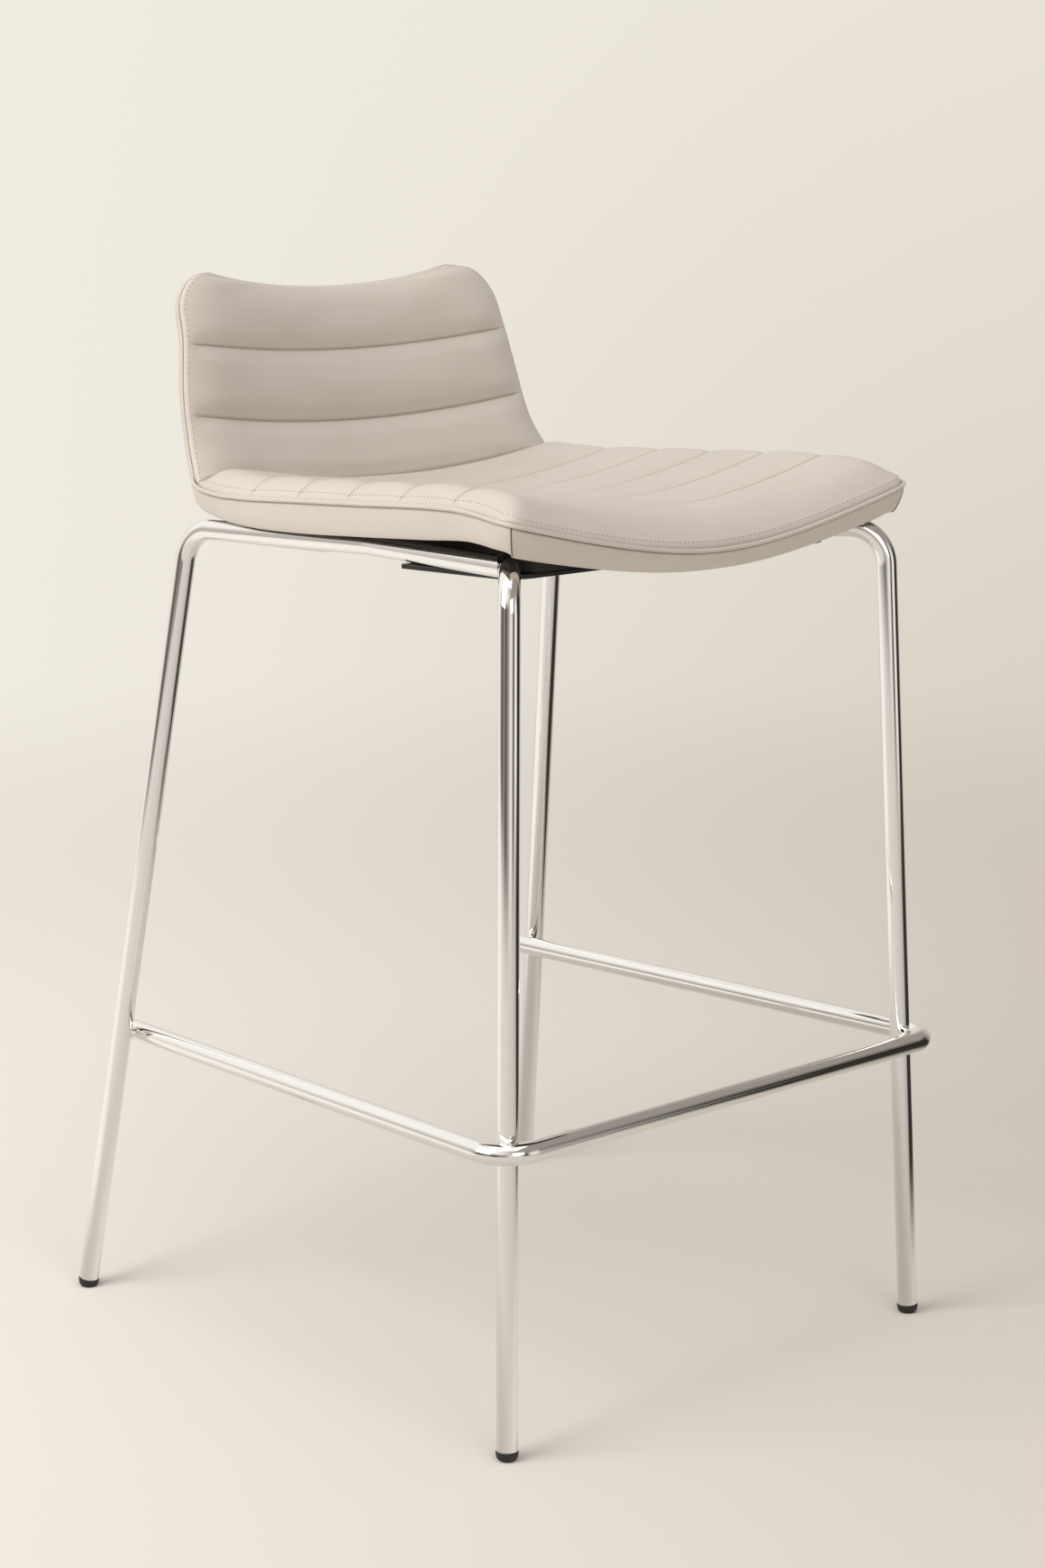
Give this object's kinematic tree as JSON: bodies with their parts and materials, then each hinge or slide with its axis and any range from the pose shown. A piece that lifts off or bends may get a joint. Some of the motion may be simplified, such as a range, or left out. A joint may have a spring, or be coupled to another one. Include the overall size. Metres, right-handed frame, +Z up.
{
  "type": "bar stool",
  "caption": "Bar stool with a bent steel tube frame, a footrest round the legs and a dished, channel-stitched upholstered seat with a low back.",
  "frame": {"origin": "on the floor, under the middle of the stool's box", "axes": "+Z up, -Y towards the front of the seat, +X to the right as seen from the front"},
  "size_m": [0.5674, 0.5865, 0.9341],
  "materials": {
    "chrome": "polished",
    "black_paint": "satin",
    "black_plastic": "matte",
    "rubber": "matte",
    "zinc_steel": "zinc plated",
    "shell": "matte",
    "leather": "smooth synthetic leather"
  },
  "bodies": {
    "root": {"left_side_tube": "chrome", "right_side_tube": "chrome", "front_left_leg": "chrome", "front_right_leg": "chrome", "footrest": "chrome", "footrest_left_end_cap": "chrome", "footrest_right_end_cap": "chrome", "rear_cross_rail": "chrome", "rear_left_lug": "chrome", "rear_right_lug": "chrome", "front_mounting_plate": "black_paint", "front_left_glide": "black_plastic", "front_right_glide": "black_plastic", "rear_left_glide": "black_plastic", "rear_right_glide": "black_plastic", "front_left_spacer": "rubber", "front_right_spacer": "rubber", "rear_left_spacer": "rubber", "rear_right_spacer": "rubber", "front_left_screw": "zinc_steel", "front_right_screw": "zinc_steel", "rear_left_screw": "zinc_steel", "rear_right_screw": "zinc_steel", "left_seat_batten": "shell", "right_seat_batten": "shell", "moulded_shell": "shell", "seat_pad": "leather", "back_pad": "leather", "back_cover": "leather", "seat_skirt": "leather", "seat_piping": "leather"}
  },
  "joints": []
}
